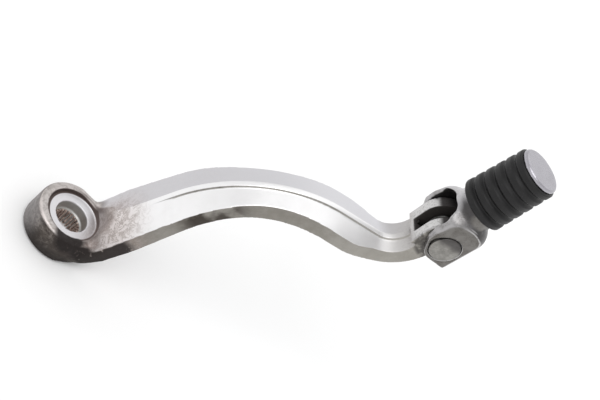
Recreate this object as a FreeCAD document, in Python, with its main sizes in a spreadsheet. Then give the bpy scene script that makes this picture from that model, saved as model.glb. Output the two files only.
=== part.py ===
import FreeCAD, Part
import math
import os
import Sketcher

# Folding gear shift pedal. Millimetres. Z is the axis of the hub and points away from
# the engine, X points forward along the machine, Y points down. The origin is the middle
# of the face that the hub's washer sits on.

DIMENSIONS = [
    # Hub
    ("hub_radius", 15.0),
    ("hub_rim_height", 2.0),
    ("hub_depth", 11.5),
    ("hub_edge_radius", 1.6),
    ("seat_radius", 11.2),
    ("seat_clearance_height", 30.0),
    ("counterbore_radius", 6.9),
    ("counterbore_depth", 4.6),
    ("spline_tip_radius", 5.3),
    ("spline_root_radius", 6.0),
    ("spline_teeth", 26),
    ("spline_mouth_chamfer", 0.7),
    # Arm, along its middle line in the X-Z plane
    ("arm_thickness", 12.0),
    ("arm_rise_angle", 68.5),
    ("arm_foot_x", 12.57),
    ("arm_level", 68.3),
    ("bend_radius", 51.0),
    ("upturn_end_x", 106.8),
    ("upturn_outer_radius", 8.0),
    ("upturn_inner_radius", 24.0),
    ("gusset_x", 19.5),
    ("gusset_drop", 2.5),
    ("gusset_foot_x", 11.5),
    ("arm_draft", 14.0),
    # Arm, half widths across the parting plane
    ("root_x", 12.0),
    ("root_half", 14.0),
    ("waist_x", 45.0),
    ("waist_half", 9.3),
    ("flare_x", 80.0),
    ("flare_half", 11.1),
    ("neck_x", 97.5),
    ("neck_half", 7.5),
    # Shallow recess on the outer face
    ("recess_depth", 0.55),
    ("recess_border", 1.9),
    ("recess_start", 12.0),
    # Pivot and fork
    ("pivot_x", 110.0),
    ("pivot_z", 92.0),
    ("fork_half", 7.6),
    ("fork_radius", 9.6),
    ("fork_heel", 7.0),
    ("fork_base_drop", 8.6),
    ("fork_slot_half", 2.85),
    # Toe piece
    ("rest_lean", 4.0),
    ("barrel_radius", 13.4),
    ("shoulder_z", 8.5),
    ("shoulder_radius", 6.0),
    ("neck_angle", 50.0),
    ("collar_radius", 9.0),
    ("collar_fillet", 2.2),
    ("cheek_half", 11.0),
    ("cheek_edge_radius", 0.8),
    ("ear_drop", 8.0),
    ("ear_round_angle", 30.0),
    ("ear_lean", 13.0),
    ("side_clearance", 0.3),
    ("stop_clearance", 0.3),
    ("toe_slot_depth", 14.1),
    ("toe_slot_corner", 6.0),
    ("stem_radius", 6.0),
    ("disc_radius", 9.2),
    ("disc_thickness", 1.8),
    ("disc_chamfer", 0.7),
    # Rubber sleeve
    ("rubber_start", 19.0),
    ("rubber_length", 25.9),
    ("rubber_radius", 10.9),
    ("rubber_end_radius", 10.1),
    ("rubber_groove_radius", 9.2),
    ("rubber_grooves", 5),
    ("rubber_pitch", 4.6),
    ("rubber_first_groove", 2.6),
    # Pivot pin
    ("pin_radius", 3.0),
    ("pin_running_clearance", 0.05),
    ("pin_head_radius", 6.2),
    ("pin_head_sink", 1.3),
    ("pin_head_proud", 0.5),
    ("pin_head_clearance", 0.3),
    ("pin_rivet_flare", 1.0),
    ("pin_rivet_dome", 0.3),
    # Torsion spring
    ("wire_radius", 0.65),
    ("coil_radius", 5.2),
    ("coil_pitch", 1.6),
    ("coil_turns", 2.25),
    ("coil_steps", 10.0),
    ("leg_length", 8.4),
    ("leg_hole_clearance", 0.1),
    ("leg_hole_depth", 3.0),
]

document = FreeCAD.newDocument("shift_pedal")
sheet = document.addObject("Spreadsheet::Sheet", "Sizes")


class Size:
    """A number together with the spreadsheet expression that gives it."""

    def __init__(self, value, text):
        self.value = float(value)
        self.text = text

    @staticmethod
    def of(other):
        if isinstance(other, Size):
            return other
        return Size(other, repr(float(other)))

    def join(self, other, sign, value):
        return Size(value, "(" + self.text + " " + sign + " " + Size.of(other).text + ")")

    def __add__(self, other):
        return self.join(other, "+", self.value + Size.of(other).value)

    def __sub__(self, other):
        return self.join(other, "-", self.value - Size.of(other).value)

    def __mul__(self, other):
        return self.join(other, "*", self.value * Size.of(other).value)

    def __truediv__(self, other):
        return self.join(other, "/", self.value / Size.of(other).value)

    def __radd__(self, other):
        return Size.of(other) + self

    def __rsub__(self, other):
        return Size.of(other) - self

    def __rmul__(self, other):
        return Size.of(other) * self

    def __rtruediv__(self, other):
        return Size.of(other) / self

    def __neg__(self):
        return Size(-self.value, "(-" + self.text + ")")


class Sizes:
    """The cells of the spreadsheet, by alias."""


def sin(angle):
    """Return the sine of an angle in degrees."""
    return Size(math.sin(math.radians(angle.value)), "sin(" + angle.text + ")")


def cos(angle):
    """Return the cosine of an angle in degrees."""
    return Size(math.cos(math.radians(angle.value)), "cos(" + angle.text + ")")


def tan(angle):
    """Return the tangent of an angle in degrees."""
    return Size(math.tan(math.radians(angle.value)), "tan(" + angle.text + ")")


dim = Sizes()
for row, (alias, value) in enumerate(DIMENSIONS, start=1):
    sheet.set("A" + str(row), alias)
    sheet.set("B" + str(row), str(value))
    sheet.setAlias("B" + str(row), alias)
    setattr(dim, alias, Size(value, "Sizes." + alias))
document.recompute()

ZERO = Size(0, "0")
coil_height = dim.coil_pitch * (dim.coil_turns - dim.rest_lean / 360)


class Corner:
    """A corner of an outline, and the side that leaves it."""

    def __init__(self, x, y, centre=None, radius=None, turn=None):
        self.x = Size.of(x)
        self.y = Size.of(y)
        self.centre = centre
        self.radius = radius
        self.turn = turn


def arc_corner(x, y, centre, radius, turn):
    """Return a corner that is followed by an arc about centre; turn is left or right."""
    return Corner(x, y, (Size.of(centre[0]), Size.of(centre[1])), Size.of(radius), turn)


def bind(item, name, size):
    """Tie a property to the spreadsheet."""
    item.setExpression(name, size.text)


def tie_point(sketch, geometry, end, axis, size):
    """Tie one coordinate of a sketch point to the spreadsheet."""
    if size is ZERO or size.text in ("0", "0.0"):
        line = -2 if axis == "X" else -1
        sketch.addConstraint(Sketcher.Constraint("PointOnObject", geometry, end, line))
        return
    rule = Sketcher.Constraint("Distance" + axis, -1, 1, geometry, end, size.value)
    index = sketch.addConstraint(rule)
    sketch.setExpression("Constraints[" + str(index) + "]", size.text)


def draw(sketch, corners):
    """Draw a closed outline whose corners and radii follow the spreadsheet."""
    sides = []
    for number, corner in enumerate(corners):
        following = corners[(number + 1) % len(corners)]
        start = FreeCAD.Vector(corner.x.value, corner.y.value, 0)
        end = FreeCAD.Vector(following.x.value, following.y.value, 0)
        if corner.centre is None:
            geometry = sketch.addGeometry(Part.LineSegment(start, end), False)
            sides.append((geometry, 1, 2))
            continue
        middle = FreeCAD.Vector(corner.centre[0].value, corner.centre[1].value, 0)
        circle = Part.Circle(middle, FreeCAD.Vector(0, 0, 1), corner.radius.value)
        first, last, ends = start, end, (1, 2)
        if corner.turn == "right":
            first, last, ends = end, start, (2, 1)
        first_angle = math.atan2(first.y - middle.y, first.x - middle.x)
        last_angle = math.atan2(last.y - middle.y, last.x - middle.x)
        while last_angle <= first_angle:
            last_angle += 2 * math.pi
        geometry = sketch.addGeometry(Part.ArcOfCircle(circle, first_angle, last_angle), False)
        sides.append((geometry, ends[0], ends[1]))
    for number, (geometry, start_end, far_end) in enumerate(sides):
        other, other_start, other_far = sides[(number + 1) % len(sides)]
        meet = Sketcher.Constraint("Coincident", geometry, far_end, other, other_start)
        sketch.addConstraint(meet)
    for corner, (geometry, start_end, far_end) in zip(corners, sides):
        tie_point(sketch, geometry, start_end, "X", corner.x)
        tie_point(sketch, geometry, start_end, "Y", corner.y)
        if corner.radius is not None:
            rule = Sketcher.Constraint("Radius", geometry, corner.radius.value)
            index = sketch.addConstraint(rule)
            sketch.setExpression("Constraints[" + str(index) + "]", corner.radius.text)


def draw_circle(sketch, x, y, radius):
    """Draw a circle whose place and radius follow the spreadsheet."""
    middle = FreeCAD.Vector(x.value, y.value, 0)
    circle = Part.Circle(middle, FreeCAD.Vector(0, 0, 1), radius.value)
    geometry = sketch.addGeometry(circle, False)
    tie_point(sketch, geometry, 3, "X", x)
    tie_point(sketch, geometry, 3, "Y", y)
    index = sketch.addConstraint(Sketcher.Constraint("Radius", geometry, radius.value))
    sketch.setExpression("Constraints[" + str(index) + "]", radius.text)


def new_body(label):
    """Return a new body with a label."""
    body = document.addObject("PartDesign::Body", label + "_body")
    body.Label = label
    return body


def origin_feature(body, role):
    """Return a plane or an axis of a body's own origin."""
    return [item for item in body.Origin.OriginFeatures if item.Role == role][0]


def new_sketch(body, name, role, lift=None):
    """Return a sketch on one of the body's planes, moved along its normal by lift."""
    sketch = body.newObject("Sketcher::SketchObject", name)
    sketch.AttachmentSupport = [(origin_feature(body, role), "")]
    sketch.MapMode = "FlatFace"
    if lift is not None:
        sketch.AttachmentOffset = FreeCAD.Placement(
            FreeCAD.Vector(0, 0, lift.value), FreeCAD.Rotation())
        bind(sketch, "AttachmentOffset.Base.z", lift)
    return sketch


def add_pad(body, name, sketch, length, sides="One side", taper=None):
    """Add a pad; with a taper it leans inward on both sides of the sketch."""
    pad = body.newObject("PartDesign::Pad", name)
    pad.Profile = sketch
    pad.SideType = sides
    bind(pad, "Length", length)
    if sides == "Two sides":
        bind(pad, "Length2", length)
    if taper is not None:
        bind(pad, "TaperAngle", -taper)
        bind(pad, "TaperAngle2", -taper)
    document.recompute()
    return pad


def add_pocket(body, name, sketch, length=None, sides="One side", reverse=False, taper=None):
    """Add a pocket; without a length it goes right through."""
    pocket = body.newObject("PartDesign::Pocket", name)
    pocket.Profile = sketch
    pocket.SideType = sides
    pocket.Reversed = reverse
    if length is None:
        pocket.Type = "ThroughAll"
        if sides == "Two sides":
            pocket.Type2 = "ThroughAll"
    else:
        pocket.Type = "Length"
        bind(pocket, "Length", length)
    if taper is not None:
        bind(pocket, "TaperAngle", taper)
    document.recompute()
    return pocket


def add_turned(body, kind, name, sketch):
    """Add a revolution or a groove about the sketch's upright axis."""
    turned = body.newObject("PartDesign::" + kind, name)
    turned.Profile = sketch
    turned.ReferenceAxis = (sketch, ["V_Axis"])
    turned.Angle = 360.0
    document.recompute()
    return turned


def add_mirror(body, name, feature, role):
    """Repeat a feature on the other side of one of the body's planes."""
    mirror = body.newObject("PartDesign::Mirrored", name)
    mirror.Originals = [feature]
    mirror.MirrorPlane = (origin_feature(body, role), [""])
    body.Tip = mirror
    document.recompute()
    return mirror


def add_dressing(body, kind, name, feature, edges, prop, size):
    """Add a fillet or a chamfer on some edges of a feature."""
    dressing = body.newObject("PartDesign::" + kind, name)
    dressing.Base = (feature, edges)
    bind(dressing, prop, size)
    body.Tip = dressing
    document.recompute()
    return dressing


def edge_names(shape, wanted):
    """Return the names of the edges for which wanted(edge) holds."""
    names = []
    for number, edge in enumerate(shape.Edges, start=1):
        if wanted(edge):
            names.append("Edge" + str(number))
    return names


def build_lever():
    """Build the forging: hub, arm and fork."""
    body = new_body("lever")
    half = dim.arm_thickness / 2
    bend_z = dim.arm_level - dim.bend_radius
    bend_x = dim.arm_foot_x + dim.bend_radius / sin(dim.arm_rise_angle)
    bend = (bend_x + bend_z / tan(dim.arm_rise_angle), bend_z)
    outer_bend = dim.bend_radius + half
    inner_bend = dim.bend_radius - half
    outer_turn = dim.upturn_outer_radius
    inner_turn = dim.upturn_inner_radius
    outer_level = bend[1] + outer_bend
    inner_level = bend[1] + inner_bend
    outer_end = dim.upturn_end_x - half
    inner_end = dim.upturn_end_x + half
    outer_centre = (outer_end - outer_turn, outer_level + outer_turn)
    inner_centre = (inner_end - inner_turn, inner_level + inner_turn)

    def bend_start(radius):
        """Return the point where the straight rise meets the bend."""
        x = bend[0] - radius * sin(dim.arm_rise_angle)
        z = bend[1] + radius * cos(dim.arm_rise_angle)
        return x, z

    foot_x, foot_z = bend_start(outer_bend)
    foot_x = foot_x - (foot_z + dim.hub_depth) / tan(dim.arm_rise_angle)

    # Arm: one thickness along its middle line, drafted both ways from the parting plane.
    arm = new_sketch(body, "arm_outline", "XZ_Plane")
    draw(arm, [
        Corner(foot_x, -dim.hub_depth),
        arc_corner(*bend_start(outer_bend), bend, outer_bend, "right"),
        Corner(bend[0], outer_level),
        arc_corner(outer_centre[0], outer_level, outer_centre, outer_turn, "left"),
        Corner(outer_end, outer_centre[1]),
        Corner(outer_end, dim.pivot_z),
        Corner(inner_end, dim.pivot_z),
        arc_corner(inner_end, inner_centre[1], inner_centre, inner_turn, "right"),
        Corner(inner_centre[0], inner_level),
        arc_corner(bend[0], inner_level, bend, inner_bend, "left"),
        Corner(*bend_start(inner_bend)),
        Corner(dim.gusset_x, -dim.gusset_drop),
        Corner(dim.gusset_foot_x, -dim.hub_depth),
    ])
    add_pad(body, "arm", arm, dim.root_half, "Two sides", dim.arm_draft)

    # Width of the arm: narrow waist, a flare before the fork, then the neck.
    def sway(first_x, first_half, second_x, second_half):
        """Return the radius of two equal arcs that join two level points."""
        run = second_x - first_x
        rise = second_half - first_half
        return (run * run + rise * rise) / (4 * rise)

    widen = sway(dim.waist_x, dim.waist_half, dim.flare_x, dim.flare_half)
    narrow = sway(dim.flare_x, dim.flare_half, dim.neck_x, dim.neck_half)
    run = dim.waist_x - dim.root_x
    drop = dim.root_half - dim.waist_half
    root_curve = (run * run + drop * drop) / (2 * drop)
    clear = dim.root_half + dim.hub_radius
    plan = new_sketch(body, "arm_plan", "XY_Plane")
    draw(plan, [
        arc_corner(dim.root_x, dim.root_half,
                   (dim.waist_x, dim.waist_half + root_curve), root_curve, "left"),
        arc_corner(dim.waist_x, dim.waist_half,
                   (dim.waist_x, dim.waist_half + widen), widen, "left"),
        arc_corner((dim.waist_x + dim.flare_x) / 2, (dim.waist_half + dim.flare_half) / 2,
                   (dim.flare_x, dim.flare_half - widen), widen, "right"),
        arc_corner(dim.flare_x, dim.flare_half,
                   (dim.flare_x, dim.flare_half + narrow), -narrow, "right"),
        arc_corner((dim.flare_x + dim.neck_x) / 2, (dim.flare_half + dim.neck_half) / 2,
                   (dim.neck_x, dim.neck_half - narrow), -narrow, "left"),
        Corner(dim.neck_x, dim.neck_half),
        Corner(dim.pivot_x + dim.barrel_radius, dim.neck_half),
        Corner(dim.pivot_x + dim.barrel_radius, clear),
        Corner(dim.root_x, clear),
    ])
    trim = add_pocket(body, "arm_trim", plan, None, "Two sides")
    add_mirror(body, "arm_trim_far", trim, "XZ_Plane")

    # Shallow recess on the outer face, below the parting line; the fork closes its end.
    lean = (dim.recess_border * tan(dim.arm_draft)) + dim.recess_depth
    floor_bend = outer_bend - lean
    floor_turn = outer_turn + lean
    brim = 2 * dim.recess_border
    start_x, start_z = bend_start(outer_bend)
    start_x = start_x - dim.recess_start * cos(dim.arm_rise_angle)
    start_z = start_z - dim.recess_start * sin(dim.arm_rise_angle)
    recess_top = outer_centre[1] + brim
    recess = new_sketch(body, "recess_outline", "XZ_Plane", dim.recess_border)
    draw(recess, [
        Corner(start_x, start_z),
        arc_corner(*bend_start(floor_bend), bend, floor_bend, "right"),
        Corner(bend[0], bend[1] + floor_bend),
        arc_corner(outer_centre[0], outer_level - lean, outer_centre, floor_turn, "left"),
        Corner(outer_end + lean, outer_centre[1]),
        Corner(outer_end + lean, recess_top),
        Corner(dim.waist_x, recess_top),
        Corner(start_x - brim * sin(dim.arm_rise_angle), start_z + brim * cos(dim.arm_rise_angle)),
    ])
    add_pocket(body, "recess", recess, dim.root_half, "One side", True, dim.arm_draft)

    # Hub.
    edge = dim.hub_edge_radius
    hub = new_sketch(body, "hub_profile", "XZ_Plane")
    draw(hub, [
        Corner(ZERO, -dim.hub_depth),
        Corner(dim.hub_radius - edge / 2, -dim.hub_depth),
        Corner(dim.hub_radius, edge / 2 - dim.hub_depth),
        arc_corner(dim.hub_radius, dim.hub_rim_height - edge,
                   (dim.hub_radius - edge, dim.hub_rim_height - edge), edge, "left"),
        Corner(dim.hub_radius - edge, dim.hub_rim_height),
        Corner(ZERO, dim.hub_rim_height),
    ])
    add_turned(body, "Revolution", "hub", hub)

    # Fork: rounded behind so that the toe piece can fold, square heel in front as its stop.
    rear = dim.pivot_x - dim.fork_radius
    top = dim.pivot_z + dim.fork_radius
    fork = new_sketch(body, "fork_outline", "XZ_Plane")
    pivot = (dim.pivot_x, dim.pivot_z)
    draw(fork, [
        Corner(rear, dim.pivot_z - dim.fork_base_drop),
        arc_corner(rear, dim.pivot_z, pivot, dim.fork_radius, "right"),
        Corner(dim.pivot_x, top),
        Corner(dim.pivot_x + dim.fork_heel, top - dim.fork_heel * tan(dim.rest_lean)),
        arc_corner(dim.pivot_x + dim.fork_heel, dim.pivot_z, pivot, dim.fork_heel, "right"),
        Corner(dim.pivot_x + dim.fork_heel / 2,
               dim.pivot_z - dim.fork_heel * math.sqrt(0.75)),
        Corner(dim.pivot_x - dim.fork_heel / 4, dim.pivot_z - dim.fork_base_drop * 0.8),
    ])
    add_pad(body, "fork", fork, 2 * dim.fork_half, "Symmetric")

    # Slot for the spring, and the bore for the pin.
    floor = dim.pivot_z - dim.coil_radius - dim.wire_radius
    above = top + dim.fork_radius
    slot = new_sketch(body, "fork_slot_outline", "YZ_Plane")
    draw(slot, [
        Corner(-dim.fork_slot_half, floor),
        Corner(dim.fork_slot_half, floor),
        Corner(dim.fork_slot_half, above),
        Corner(-dim.fork_slot_half, above),
    ])
    add_pocket(body, "fork_slot", slot, None, "Two sides")
    bore = new_sketch(body, "pin_bore_circle", "XZ_Plane")
    draw_circle(bore, dim.pivot_x, dim.pivot_z, dim.pin_radius + dim.pin_running_clearance)
    add_pocket(body, "pin_bore", bore, None, "Two sides")

    # Washer seat, counterbore and splined bore.
    seat = new_sketch(body, "hub_bore_profile", "XZ_Plane")
    below = -(dim.hub_depth + dim.hub_edge_radius)
    mouth = dim.spline_mouth_chamfer
    tip = dim.spline_tip_radius
    draw(seat, [
        Corner(ZERO, dim.seat_clearance_height),
        Corner(ZERO, below),
        Corner(tip + mouth, below),
        Corner(tip + mouth, -dim.hub_depth),
        Corner(tip, mouth - dim.hub_depth),
        Corner(tip, -(dim.counterbore_depth + mouth)),
        Corner(tip + mouth, -dim.counterbore_depth),
        Corner(dim.counterbore_radius, -dim.counterbore_depth),
        Corner(dim.counterbore_radius, ZERO),
        Corner(dim.seat_radius, ZERO),
        Corner(dim.seat_radius, dim.seat_clearance_height),
    ])
    add_turned(body, "Groove", "hub_bore", seat)

    # Splines: one groove, repeated about the hub's axis.
    half_angle = 180.0 / dim.spline_teeth
    reach = dim.spline_tip_radius - mouth
    wide = reach * tan(half_angle * 0.9)
    thin = dim.spline_root_radius * tan(half_angle * 0.25)
    groove = new_sketch(body, "spline_groove_outline", "XY_Plane")
    draw(groove, [
        Corner(reach, -wide),
        Corner(dim.spline_root_radius, -thin),
        Corner(dim.spline_root_radius, thin),
        Corner(reach, wide),
    ])
    cut = add_pocket(body, "spline_groove", groove)
    spline = body.newObject("PartDesign::PolarPattern", "splines")
    spline.Originals = [cut]
    spline.Axis = (origin_feature(body, "Z_Axis"), [""])
    spline.Angle = 360.0
    bind(spline, "Occurrences", dim.spline_teeth)
    body.Tip = spline
    document.recompute()
    return body


def stand_on_pivot(body, height):
    """Place a body on the toe piece's axis, which leans a little at rest."""
    lean = FreeCAD.Rotation(FreeCAD.Vector(0, 1, 0), dim.rest_lean.value)
    body.Placement = FreeCAD.Placement(FreeCAD.Vector(0, 0, 0), lean)
    bind(body, "Placement.Rotation.Angle", dim.rest_lean)
    bind(body, "Placement.Base.x", dim.pivot_x + height * sin(dim.rest_lean))
    bind(body, "Placement.Base.z", dim.pivot_z + height * cos(dim.rest_lean))


def build_toe_piece():
    """Build the folding forging: ears, collar, stem and end disc, about its own axis."""
    body = new_body("toe_piece")
    stand_on_pivot(body, ZERO)
    rubber_end = dim.rubber_start + dim.rubber_length
    tip = rubber_end + dim.disc_thickness

    # Turned form: barrel, shoulder, waisted collar, stem and disc.
    round_x = dim.barrel_radius - dim.shoulder_radius
    leave_x = round_x + dim.shoulder_radius * cos(dim.neck_angle)
    leave_z = dim.shoulder_z + dim.shoulder_radius * sin(dim.neck_angle)
    hollow_x = dim.collar_radius + dim.collar_fillet
    meet_x = hollow_x - dim.collar_fillet * cos(dim.neck_angle)
    meet_z = leave_z + (leave_x - meet_x) / tan(dim.neck_angle)
    hollow_z = meet_z + dim.collar_fillet * sin(dim.neck_angle)
    turned = new_sketch(body, "toe_profile", "XZ_Plane")
    draw(turned, [
        Corner(ZERO, -2 * dim.ear_drop),
        Corner(dim.barrel_radius, -2 * dim.ear_drop),
        arc_corner(dim.barrel_radius, dim.shoulder_z,
                   (round_x, dim.shoulder_z), dim.shoulder_radius, "left"),
        Corner(leave_x, leave_z),
        arc_corner(meet_x, meet_z, (hollow_x, hollow_z), dim.collar_fillet, "right"),
        Corner(dim.collar_radius, hollow_z),
        Corner(dim.collar_radius, dim.rubber_start),
        Corner(dim.stem_radius, dim.rubber_start),
        Corner(dim.stem_radius, rubber_end),
        Corner(dim.disc_radius, rubber_end),
        Corner(dim.disc_radius, tip - dim.disc_chamfer),
        Corner(dim.disc_radius - dim.disc_chamfer, tip),
        Corner(ZERO, tip),
    ])
    add_turned(body, "Revolution", "toe_form", turned)

    # Flat cheeks.
    side = 2 * dim.barrel_radius
    cheek = new_sketch(body, "cheek_outline", "YZ_Plane")
    draw(cheek, [
        Corner(dim.cheek_half, -side),
        Corner(side, -side),
        Corner(side, side),
        Corner(dim.cheek_half, side),
    ])
    flat = add_pocket(body, "cheek", cheek, None, "Two sides")
    flats = add_mirror(body, "cheek_far", flat, "XZ_Plane")

    def cheek_edge(edge):
        """Tell whether an edge bounds a cheek."""
        points = edge.discretize(7)
        level = max(abs(abs(point.y) - dim.cheek_half.value) for point in points)
        return level < 1e-4 and max(point.z for point in points) > 0

    names = edge_names(flats.Shape, cheek_edge)
    add_dressing(body, "Fillet", "cheek_edges", flats, names, "Radius", dim.cheek_edge_radius)

    # Ends of the ears: flat below, round about the pin, then leaning back to the barrel.
    back = dim.ear_drop * cos(dim.ear_round_angle)
    low = dim.ear_drop * sin(dim.ear_round_angle)
    far_back = back + (dim.rubber_start + low) * tan(dim.ear_lean)
    ear = new_sketch(body, "ear_outline", "XZ_Plane")
    draw(ear, [
        arc_corner(-back, -low, (ZERO, ZERO), dim.ear_drop, "left"),
        Corner(ZERO, -dim.ear_drop),
        Corner(side, -dim.ear_drop),
        Corner(side, -side),
        Corner(-side, -side),
        Corner(-side, dim.rubber_start),
        Corner(-far_back, dim.rubber_start),
    ])
    add_pocket(body, "ear_end", ear, None, "Two sides")

    # Slot for the fork: square where the heel stops, deep and round behind it.
    gap = dim.fork_half + dim.side_clearance
    stop = dim.fork_radius + dim.stop_clearance
    square = new_sketch(body, "ear_gap_outline", "YZ_Plane")
    draw(square, [
        Corner(-gap, -side),
        Corner(gap, -side),
        Corner(gap, stop),
        Corner(-gap, stop),
    ])
    add_pocket(body, "ear_gap", square, None, "Two sides")
    inset = gap - dim.toe_slot_corner
    spring_z = dim.toe_slot_depth - dim.toe_slot_corner
    deep = new_sketch(body, "toe_slot_outline", "YZ_Plane")
    draw(deep, [
        Corner(-gap, -side),
        Corner(gap, -side),
        arc_corner(gap, spring_z, (inset, spring_z), dim.toe_slot_corner, "left"),
        Corner(inset, dim.toe_slot_depth),
        arc_corner(-inset, dim.toe_slot_depth, (-inset, spring_z), dim.toe_slot_corner, "left"),
        Corner(-gap, spring_z),
    ])
    add_pocket(body, "toe_slot", deep)

    # Pin hole, the sunk place of its head, and the countersink of its rivet.
    hole = new_sketch(body, "pin_hole_circle", "XZ_Plane")
    draw_circle(hole, ZERO, ZERO, dim.pin_radius)
    add_pocket(body, "pin_hole", hole, None, "Two sides")
    sunk = new_sketch(body, "head_sink_circle", "XZ_Plane", dim.cheek_half - dim.pin_head_sink)
    draw_circle(sunk, ZERO, ZERO, dim.pin_head_radius + dim.pin_head_clearance)
    sink = add_pocket(body, "head_sink", sunk, None, "One side", True)

    def rivet_edge(edge):
        """Tell whether an edge is the far mouth of the pin hole."""
        if not isinstance(edge.Curve, Part.Circle):
            return False
        same = abs(edge.Curve.Radius - dim.pin_radius.value) < 1e-6
        return same and abs(edge.Curve.Center.y - dim.cheek_half.value) < 1e-6

    names = edge_names(sink.Shape, rivet_edge)
    add_dressing(body, "Chamfer", "rivet_sink", sink, names, "Size", dim.pin_rivet_flare)

    # Hole that holds the spring's leg.
    leg = new_sketch(body, "leg_hole_circle", "XY_Plane", stop)
    draw_circle(leg, dim.coil_radius, -coil_height / 2, dim.wire_radius + dim.leg_hole_clearance)
    add_pocket(body, "leg_hole", leg, dim.leg_hole_depth, "One side", True)
    return body


def build_rubber_sleeve():
    """Build the ribbed sleeve on the stem."""
    body = new_body("rubber_sleeve")
    stand_on_pivot(body, dim.rubber_start)
    edge = (dim.rubber_end_radius - dim.rubber_groove_radius) * 0.8
    sleeve = new_sketch(body, "sleeve_profile", "XZ_Plane")
    draw(sleeve, [
        Corner(dim.stem_radius, ZERO),
        Corner(dim.rubber_radius - edge, ZERO),
        Corner(dim.rubber_radius, edge),
        Corner(dim.rubber_end_radius, dim.rubber_length - edge),
        Corner(dim.rubber_end_radius - edge, dim.rubber_length),
        Corner(dim.stem_radius, dim.rubber_length),
    ])
    add_turned(body, "Revolution", "sleeve", sleeve)
    deep = dim.rubber_radius - dim.rubber_groove_radius
    outside = dim.rubber_radius + deep
    rib = new_sketch(body, "groove_profile", "XZ_Plane")
    draw(rib, [
        Corner(outside, dim.rubber_first_groove),
        Corner(dim.rubber_groove_radius, dim.rubber_first_groove + deep * 1.3),
        Corner(outside, dim.rubber_first_groove + deep * 2.6),
    ])
    groove = add_turned(body, "Groove", "rib_groove", rib)
    ribs = body.newObject("PartDesign::LinearPattern", "rib_grooves")
    ribs.Originals = [groove]
    ribs.Direction = (origin_feature(body, "Z_Axis"), [""])
    bind(ribs, "Length", dim.rubber_pitch * (dim.rubber_grooves - 1))
    bind(ribs, "Occurrences", dim.rubber_grooves)
    body.Tip = ribs
    document.recompute()
    return body


def build_pivot_pin():
    """Build the headed pin, riveted at its far end."""
    body = new_body("pivot_pin")
    bind(body, "Placement.Base.x", dim.pivot_x)
    bind(body, "Placement.Base.z", dim.pivot_z)
    crown = -(dim.cheek_half + dim.pin_head_proud)
    rivet = dim.pin_radius + dim.pin_rivet_flare
    profile = new_sketch(body, "pin_profile", "XY_Plane")
    draw(profile, [
        Corner(ZERO, crown),
        Corner(dim.pin_head_radius * 0.8, crown),
        Corner(dim.pin_head_radius, dim.pin_head_proud * 0.6 + crown),
        Corner(dim.pin_head_radius, dim.pin_head_sink - dim.cheek_half),
        Corner(dim.pin_radius, dim.pin_head_sink - dim.cheek_half),
        Corner(dim.pin_radius, dim.cheek_half - dim.pin_rivet_flare),
        Corner(rivet, dim.cheek_half),
        Corner(rivet * 0.7, dim.cheek_half + dim.pin_rivet_dome),
        Corner(ZERO, dim.cheek_half + dim.pin_rivet_dome),
    ])
    add_turned(body, "Revolution", "pin", profile)
    return body


def build_torsion_spring():
    """Build the coil on the pin, with one leg on the fork and one in the toe piece."""
    turns = dim.coil_turns.value - dim.rest_lean.value / 360
    height = coil_height.value
    radius = dim.coil_radius.value
    steps = round(turns * dim.coil_steps.value)

    # Path: the fork's leg, short runs around the pin, then the toe piece's leg.
    nodes = [FreeCAD.Vector(-dim.leg_length.value, height / 2, -radius)]
    for step in range(steps + 1):
        angle = math.radians(360 * turns * step / steps - 90)
        fall = height * (0.5 - step / steps)
        nodes.append(FreeCAD.Vector(radius * math.cos(angle), fall, radius * math.sin(angle)))
    reach = dim.fork_radius.value + dim.stop_clearance.value + dim.leg_hole_depth.value * 0.8
    lean = FreeCAD.Rotation(FreeCAD.Vector(0, 1, 0), dim.rest_lean.value)
    nodes.append(nodes[-1] + lean.multVec(FreeCAD.Vector(0, 0, reach)))
    path = document.addObject("Part::Polygon", "wire_path")
    path.Nodes = nodes
    ring = document.addObject("Part::Circle", "wire_circle")
    ring.Placement = FreeCAD.Placement(nodes[0], FreeCAD.Rotation(FreeCAD.Vector(0, 1, 0), 90))
    bind(ring, "Radius", dim.wire_radius)
    spring = document.addObject("Part::Sweep", "spring_wire")
    spring.Label = "torsion_spring"
    spring.Sections = [ring]
    spring.Spine = (path, [])
    spring.Solid = True
    spring.Transition = "Right corner"
    bind(spring, "Placement.Base.x", dim.pivot_x)
    bind(spring, "Placement.Base.z", dim.pivot_z)
    document.recompute()
    return spring


pieces = [
    build_lever(),
    build_toe_piece(),
    build_rubber_sleeve(),
    build_pivot_pin(),
    build_torsion_spring(),
]
document.recompute()

for item in document.Objects:
    if "Invalid" in item.State or "Error" in item.State:
        raise RuntimeError(item.Label + " did not build: " + str(item.State))
os.makedirs("parts", exist_ok=True)
for piece in pieces:
    shape = piece.Shape
    if shape.isNull() or not shape.isValid() or len(shape.Solids) != 1:
        raise RuntimeError(piece.Label + " is not one sound solid")
    shape.exportStep("parts/" + piece.Label + ".step")
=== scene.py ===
"""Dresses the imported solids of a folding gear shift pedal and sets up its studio."""

import logging
import math
from dataclasses import dataclass
from enum import Enum
from typing import Optional, Union

import bmesh
import bpy
import numpy as np
from bpy.types import Material, Mesh, Node, NodeSocket, NodeTree, Object
from mathutils import Matrix, Vector


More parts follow.
